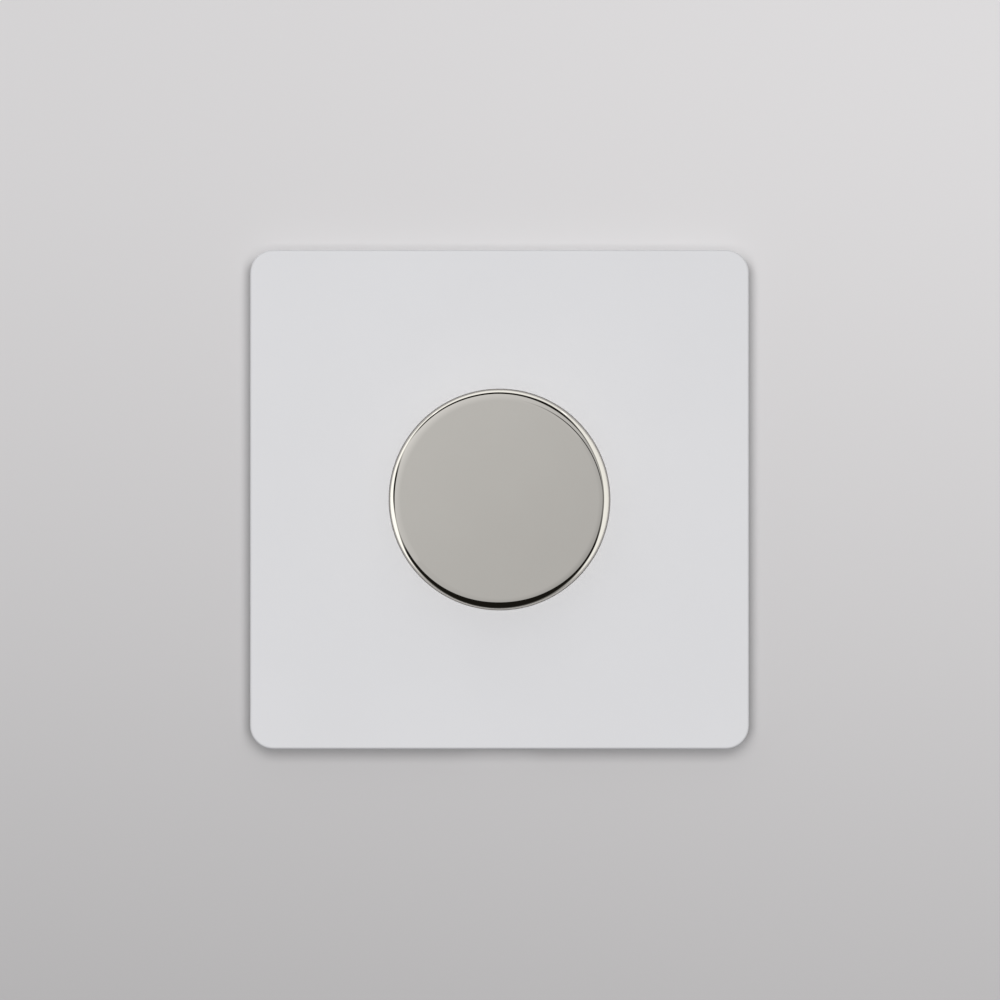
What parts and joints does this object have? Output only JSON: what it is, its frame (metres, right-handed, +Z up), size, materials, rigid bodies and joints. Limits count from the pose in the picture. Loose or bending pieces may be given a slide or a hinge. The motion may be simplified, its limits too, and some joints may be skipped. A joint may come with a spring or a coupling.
{
  "type": "dimmer switch",
  "caption": "Wall dimmer switch: square white faceplate with a large round polished metal knob, and the module behind it that stands in the wall box.",
  "frame": {"origin": "on the knob's axis in the plane of the wall, which is the back of the gasket, half-way between the two slots for the wall box's screws", "axes": "+Y into the wall, so the plate faces -Y; +X to the right seen from the room; +Z up the wall"},
  "size_m": [0.086, 0.0394, 0.086],
  "materials": {
    "white_paint": "satin white powder coat",
    "polished_nickel": "polished nickel plate",
    "natural_nylon": "moulded nylon",
    "spring_steel": "blank spring steel",
    "shaft_steel": "turned steel",
    "white_plastic": "moulded polycarbonate",
    "grey_foam": "closed-cell foam",
    "mill_aluminium": "mill finish sheet",
    "zinc_steel": "zinc-plated steel",
    "nickel_brass": "nickel-plated brass",
    "brown_phenolic": "phenolic laminate with a carbon track",
    "cream_plastic": "moulded acetal",
    "contact_bronze": "phosphor bronze",
    "blue_plastic": "moulded polyester",
    "green_board": "glass-epoxy board with solder mask",
    "yellow_core": "coated iron powder",
    "copper_wire": "enamelled copper",
    "grey_case": "boxed film capacitor",
    "black_sleeve": "shrink sleeve",
    "black_epoxy": "moulded epoxy",
    "grey_pad": "silicone sheet",
    "black_module": "moulded glass-filled nylon, fine spark texture",
    "grey_block": "moulded polyamide",
    "plain_brass": "turned and folded brass"
  },
  "bodies": {
    "root": {"front_plate": "white_paint", "carrier": "white_plastic", "wall_gasket": "grey_foam", "heat_sink": "mill_aluminium", "heat_sink_screws": "zinc_steel", "threaded_bush": "nickel_brass", "bush_nut": "nickel_brass", "lock_washer": "zinc_steel", "pot_case": "blue_plastic", "resistor_disc": "brown_phenolic", "pot_terminals": "zinc_steel", "switch_case": "black_epoxy", "plunger_spring": "spring_steel", "fixed_contacts": "contact_bronze", "circuit_board": "green_board", "choke_core": "yellow_core", "choke_winding": "copper_wire", "film_capacitor": "grey_case", "smoothing_capacitor": "black_sleeve", "thermal_fuse": "zinc_steel", "control_chip": "black_epoxy", "transistors": "black_epoxy", "insulating_pads": "grey_pad", "transistor_screws": "zinc_steel", "module_case": "black_module", "case_screws": "zinc_steel", "terminal_block": "grey_block", "terminal_cages": "plain_brass", "terminal_screws": "plain_brass", "earth_terminal": "plain_brass", "earth_screw": "zinc_steel", "earth_leaf": "contact_bronze"},
    "rotor": {"wiper_rotor": "cream_plastic", "wiper_contact": "contact_bronze"},
    "knob": {"knob_cap": "polished_nickel", "knob_hub": "natural_nylon", "hub_spring_ring": "spring_steel", "control_shaft": "shaft_steel", "shaft_circlip": "spring_steel"},
    "plunger": {"switch_plunger": "cream_plastic", "bridge_contact": "contact_bronze"}
  },
  "joints": [
    {"name": "knob_turn", "type": "hinge", "parent": "root", "child": "rotor", "pos_m": [0, 0, 0], "axis": [0, 1, 0], "range_deg": [-150, 150]},
    {"name": "knob_push", "type": "slide", "parent": "rotor", "child": "knob", "axis": [0, 1, 0], "range_m": [0, 0.0012], "stiffness_N_per_m": 2000, "springref_m": -0.0015},
    {"name": "plunger_push", "type": "slide", "parent": "root", "child": "plunger", "axis": [0, 1, 0], "range_m": [0, 0.0012], "deforming": ["plunger_spring"]}
  ],
  "couplings": [
    {"joint": "plunger_push", "follows": "knob_push", "ratio": 1}
  ]
}
